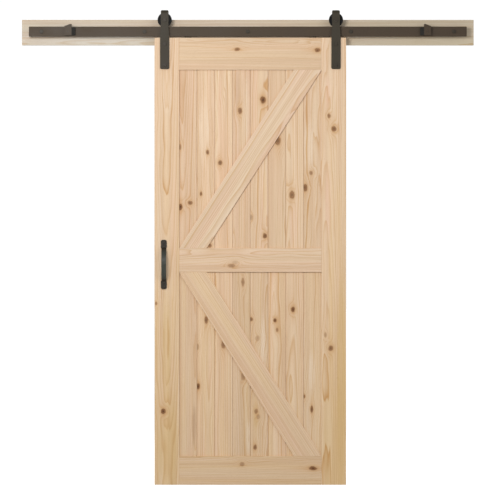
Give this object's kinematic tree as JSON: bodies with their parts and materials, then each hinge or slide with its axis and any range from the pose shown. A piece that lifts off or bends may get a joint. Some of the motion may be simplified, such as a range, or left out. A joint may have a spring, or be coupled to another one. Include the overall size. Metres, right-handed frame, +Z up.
{
  "type": "sliding barn door with track",
  "caption": "Knotty pine K-frame barn door slab hung on strap hangers with grooved wheels that roll on a flat steel track under a header board, with end stops and a pull handle.",
  "frame": {"origin": "centre of the header board's back face, where it lies on the wall", "axes": "+X along the track to the right seen from the room, +Y into the wall, +Z up"},
  "size_m": [2.16, 0.109, 2.2658],
  "materials": {
    "header_pine": "planed unfinished pine",
    "frame_pine": "sanded unfinished knotty pine",
    "plank_pine": "sanded unfinished knotty pine",
    "brace_pine": "sanded unfinished knotty pine",
    "dowel_beech": "plain turned",
    "bronze_steel": "dark bronze powder coat",
    "strap_steel": "dark bronze powder coat",
    "black_steel": "satin black",
    "handle_iron": "hand rubbed satin black",
    "bright_steel": "zinc plated",
    "wheel_nylon": "turned black nylon",
    "bumper_rubber": "matt black"
  },
  "bodies": {
    "root": {"header_board": "header_pine", "track": "bronze_steel", "track_spacers": "bronze_steel", "track_washers": "black_steel", "track_lag_bolts": "black_steel", "left_stop": "bronze_steel", "right_stop": "bronze_steel", "left_stop_bumper": "bumper_rubber", "right_stop_bumper": "bumper_rubber", "stop_set_screws": "black_steel"},
    "door": {"anti_jump_discs": "wheel_nylon", "anti_jump_screws": "bright_steel", "axle_bolts": "black_steel", "axle_nuts": "black_steel", "axle_spacers": "bright_steel", "bottom_rail": "frame_pine", "frame_dowels": "dowel_beech", "handle_screws": "black_steel", "hanger_barrel_nuts": "black_steel", "hanger_bolts": "black_steel", "hanger_washers": "black_steel", "left_hanger": "strap_steel", "left_stile": "frame_pine", "lower_back_brace": "brace_pine", "lower_brace": "brace_pine", "lower_plank_1": "plank_pine", "lower_plank_2": "plank_pine", "lower_plank_3": "plank_pine", "lower_plank_4": "plank_pine", "lower_plank_5": "plank_pine", "lower_plank_6": "plank_pine", "lower_plank_7": "plank_pine", "lower_plank_8": "plank_pine", "mid_rail": "frame_pine", "pull_handle": "handle_iron", "right_hanger": "strap_steel", "right_stile": "frame_pine", "top_rail": "frame_pine", "upper_back_brace": "brace_pine", "upper_brace": "brace_pine", "upper_plank_1": "plank_pine", "upper_plank_2": "plank_pine", "upper_plank_3": "plank_pine", "upper_plank_4": "plank_pine", "upper_plank_5": "plank_pine", "upper_plank_6": "plank_pine", "upper_plank_7": "plank_pine", "upper_plank_8": "plank_pine"},
    "left_roller": {"left_wheel": "wheel_nylon", "left_wheel_bearing": "bright_steel"},
    "right_roller": {"right_wheel": "wheel_nylon", "right_wheel_bearing": "bright_steel"}
  },
  "joints": [
    {"name": "door_slide", "type": "slide", "parent": "root", "child": "door", "axis": [1, 0, 0], "range_m": [-0.404, 0.38]},
    {"name": "left_wheel_spin", "type": "hinge", "parent": "door", "child": "left_roller", "pos_m": [-0.3967, -0.052, 0.05835], "axis": [0, 1, 0], "continuous": true},
    {"name": "right_wheel_spin", "type": "hinge", "parent": "door", "child": "right_roller", "pos_m": [0.4207, -0.052, 0.05835], "axis": [0, 1, 0], "continuous": true}
  ],
  "couplings": [
    {"joint": "left_wheel_spin", "follows": "door_slide", "rad_per_m": 31.646},
    {"joint": "right_wheel_spin", "follows": "door_slide", "rad_per_m": 31.646}
  ]
}
